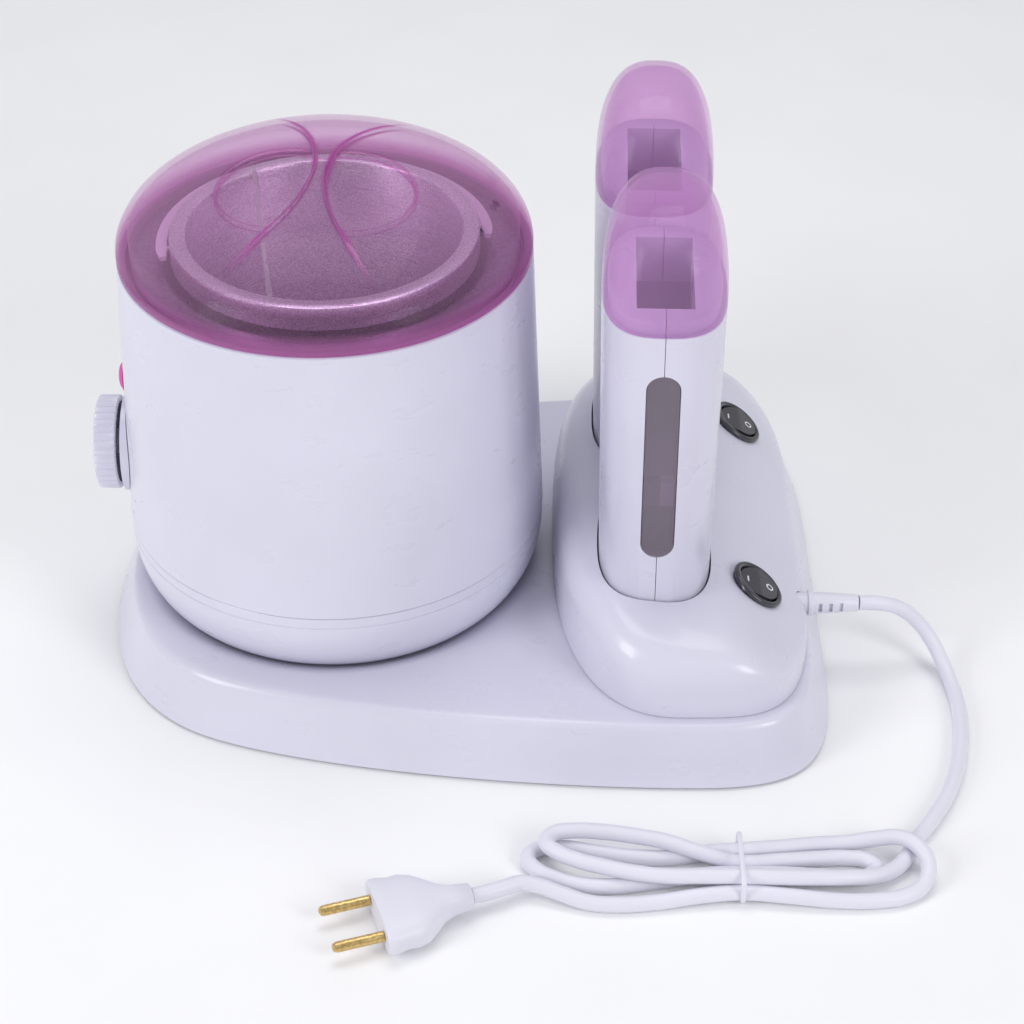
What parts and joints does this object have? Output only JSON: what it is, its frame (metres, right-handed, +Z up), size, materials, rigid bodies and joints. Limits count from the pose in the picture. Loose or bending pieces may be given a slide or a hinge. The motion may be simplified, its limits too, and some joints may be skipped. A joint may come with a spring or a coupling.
{
  "type": "wax warmer pot",
  "caption": "Wax heating unit with a round lidded pot, a lift-out metal liner, a side dial, and a dock of roll-on cartridge heaters with switches and a bundled mains cord.",
  "frame": {"origin": "centre of the unit's footprint on the surface it stands on, cord left out", "axes": "+Z up, +X from the pot towards the cartridge dock, -Y the front, where the cord bundle lies"},
  "size_m": [0.3483, 0.3372, 0.2213],
  "materials": {
    "shell_plastic": "gloss pale lilac-grey moulded plastic",
    "foot_rubber": "matt",
    "screw_steel": "satin",
    "dark_coated_metal": "dark coated, satin",
    "liner_aluminium": "pressed, fine grained",
    "pink_clear_plastic": "clear pink, gloss",
    "contact_brass": "plain",
    "switch_black": "gloss black",
    "inner_plastic": "matt, heat proof",
    "smoke_window": "tinted clear",
    "cord_vinyl": "satin soft vinyl"
  },
  "bodies": {
    "base": {"base_shell": "shell_plastic", "bottom_cover": "shell_plastic", "dock_housing": "shell_plastic", "pot_shell": "shell_plastic", "pot_bottom_cap": "shell_plastic", "knob_dial": "shell_plastic", "foot_1": "foot_rubber", "foot_2": "foot_rubber", "foot_3": "foot_rubber", "foot_4": "foot_rubber", "base_screw_1": "screw_steel", "base_screw_2": "screw_steel", "base_screw_3": "screw_steel", "base_screw_4": "screw_steel", "pot_screw_1": "screw_steel", "pot_screw_2": "screw_steel", "pot_screw_3": "screw_steel", "heater_band": "screw_steel", "heating_well": "dark_coated_metal", "indicator_lamp": "pink_clear_plastic", "plug_pin_1": "contact_brass", "plug_pin_2": "contact_brass", "switch_body_front": "switch_black", "switch_body_back": "switch_black", "terminal_block": "inner_plastic", "pot_thermostat": "inner_plastic", "thermal_fuse": "inner_plastic", "strain_relief": "cord_vinyl", "mains_cord": "cord_vinyl", "cord_hank": "cord_vinyl", "mains_cord_tail": "cord_vinyl", "mains_plug": "cord_vinyl", "cord_tie": "cord_vinyl", "socket_contact_front": "contact_brass", "socket_contact_back": "contact_brass"},
    "knob": {"temperature_knob": "shell_plastic", "thermostat_spindle": "screw_steel"},
    "rocker_front": {"rocker_front": "switch_black"},
    "rocker_back": {"rocker_back": "switch_black"},
    "liner": {"wax_liner": "liner_aluminium", "wiper_bar": "screw_steel"},
    "liner_handle": {"liner_handle": "pink_clear_plastic"},
    "lid": {"lid": "pink_clear_plastic"},
    "handpiece_front": {"handpiece_front_left_shell": "shell_plastic", "handpiece_front_right_shell": "shell_plastic", "handpiece_front_window": "smoke_window", "handpiece_front_well": "dark_coated_metal", "handpiece_front_thermostat": "switch_black", "handpiece_front_heater": "inner_plastic", "handpiece_front_contact": "contact_brass"},
    "handpiece_front_cap": {"handpiece_front_cap": "pink_clear_plastic"},
    "handpiece_back": {"handpiece_back_left_shell": "shell_plastic", "handpiece_back_right_shell": "shell_plastic", "handpiece_back_window": "smoke_window", "handpiece_back_well": "dark_coated_metal", "handpiece_back_thermostat": "switch_black", "handpiece_back_heater": "inner_plastic", "handpiece_back_contact": "contact_brass"},
    "handpiece_back_cap": {"handpiece_back_cap": "pink_clear_plastic"}
  },
  "joints": [
    {"name": "temperature_knob_turn", "type": "hinge", "parent": "base", "child": "knob", "pos_m": [-0.1395, 0, 0.079], "axis": [-1, 0, 0], "range_deg": [0, 270]},
    {"name": "rocker_front_switch", "type": "hinge", "parent": "base", "child": "rocker_front", "pos_m": [0.1153, -0.057, 0.0489], "axis": [0, 1, 0], "range_deg": [0, 16]},
    {"name": "rocker_back_switch", "type": "hinge", "parent": "base", "child": "rocker_back", "pos_m": [0.1153, 0.057, 0.0489], "axis": [0, 1, 0], "range_deg": [0, 16]},
    {"name": "liner_lift", "type": "slide", "parent": "base", "child": "liner", "axis": [0, 0, 1], "range_m": [0, 0.09]},
    {"name": "liner_handle_hinge", "type": "hinge", "parent": "liner", "child": "liner_handle", "pos_m": [-0.053, 0, 0.174], "axis": [0.9903, 0.1392, 0], "range_deg": [0, 12]},
    {"name": "lid_lift", "type": "slide", "parent": "liner", "child": "lid", "axis": [0, 0, 1], "range_m": [0, 0.08]},
    {"name": "handpiece_front_lift", "type": "slide", "parent": "base", "child": "handpiece_front", "axis": [0, 0, 1], "range_m": [0, 0.08]},
    {"name": "handpiece_front_cap_lift", "type": "slide", "parent": "handpiece_front", "child": "handpiece_front_cap", "axis": [0, 0, 1], "range_m": [0, 0.05]},
    {"name": "handpiece_back_lift", "type": "slide", "parent": "base", "child": "handpiece_back", "axis": [0, 0, 1], "range_m": [0, 0.08]},
    {"name": "handpiece_back_cap_lift", "type": "slide", "parent": "handpiece_back", "child": "handpiece_back_cap", "axis": [0, 0, 1], "range_m": [0, 0.05]}
  ]
}
